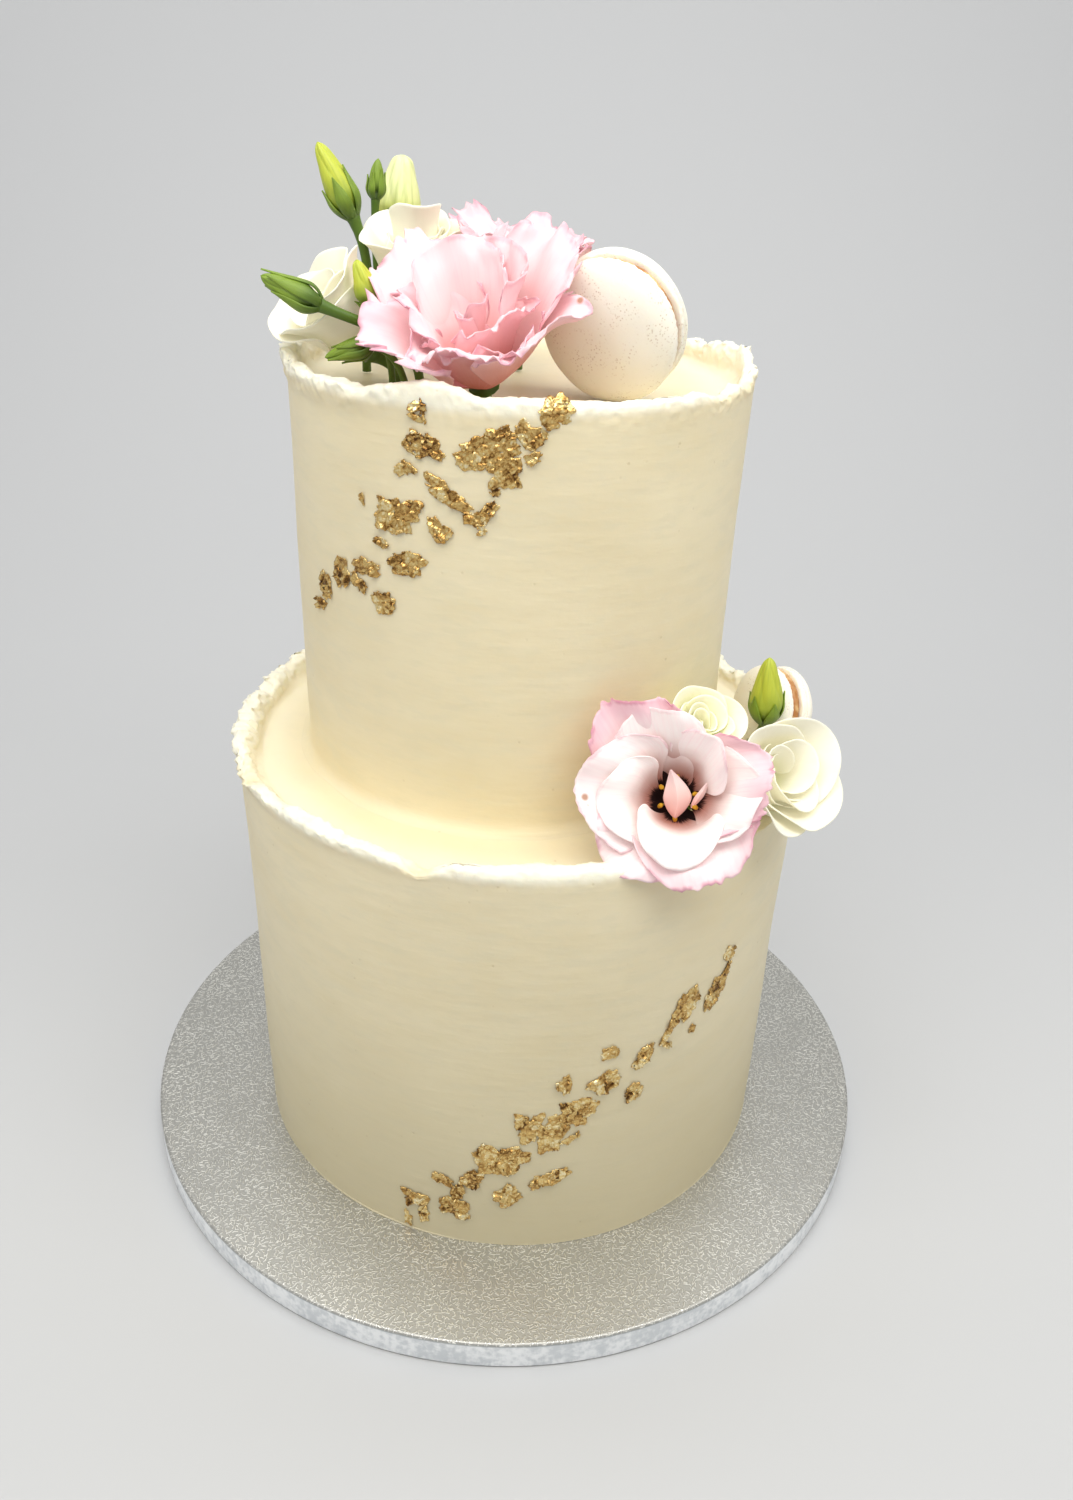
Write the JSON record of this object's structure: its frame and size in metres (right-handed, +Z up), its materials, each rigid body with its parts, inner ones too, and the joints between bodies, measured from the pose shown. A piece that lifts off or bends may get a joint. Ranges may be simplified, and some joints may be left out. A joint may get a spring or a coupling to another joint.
{
  "type": "two-tier cake",
  "caption": "Tall cake in ivory buttercream with torn rims, gold leaf, pink and white flowers, green buds and macarons, standing on a silver drum board.",
  "frame": {"origin": "middle of the board's flat underside", "axes": "+Z up through the tiers, -Y is the front that the picture shows, +X is the front's right"},
  "size_m": [0.305, 0.305, 0.3795],
  "materials": {
    "silver_foil": "embossed foil, satin",
    "ivory_buttercream": "smooth chilled buttercream, soft sheen",
    "pink_petal": "thin soft petal, faint veins",
    "white_petal": "thin soft petal",
    "cream_petal": "thin soft petal",
    "green_bud": "waxy leaf",
    "macaron_shell": "dry, finely speckled",
    "macaron_filling": "soft caramel"
  },
  "bodies": {
    "root": {"board": "silver_foil", "lower_tier": "ivory_buttercream", "upper_tier": "ivory_buttercream", "pink_flower_top": "pink_petal", "pink_flower_back": "pink_petal", "pink_flower_side": "pink_petal", "white_flower_left": "white_petal", "white_flower_back": "white_petal", "white_flower_side": "white_petal", "cream_flower_side": "cream_petal", "bud_tall": "green_bud", "bud_small_green": "green_bud", "bud_pale": "green_bud", "bud_left": "green_bud", "bud_middle": "green_bud", "bud_front": "green_bud", "bud_side": "green_bud", "macaron_top_front_shell": "macaron_shell", "macaron_top_filling": "macaron_filling", "macaron_top_back_shell": "macaron_shell", "macaron_side_front_shell": "macaron_shell", "macaron_side_filling": "macaron_filling", "macaron_side_back_shell": "macaron_shell"}
  },
  "joints": []
}
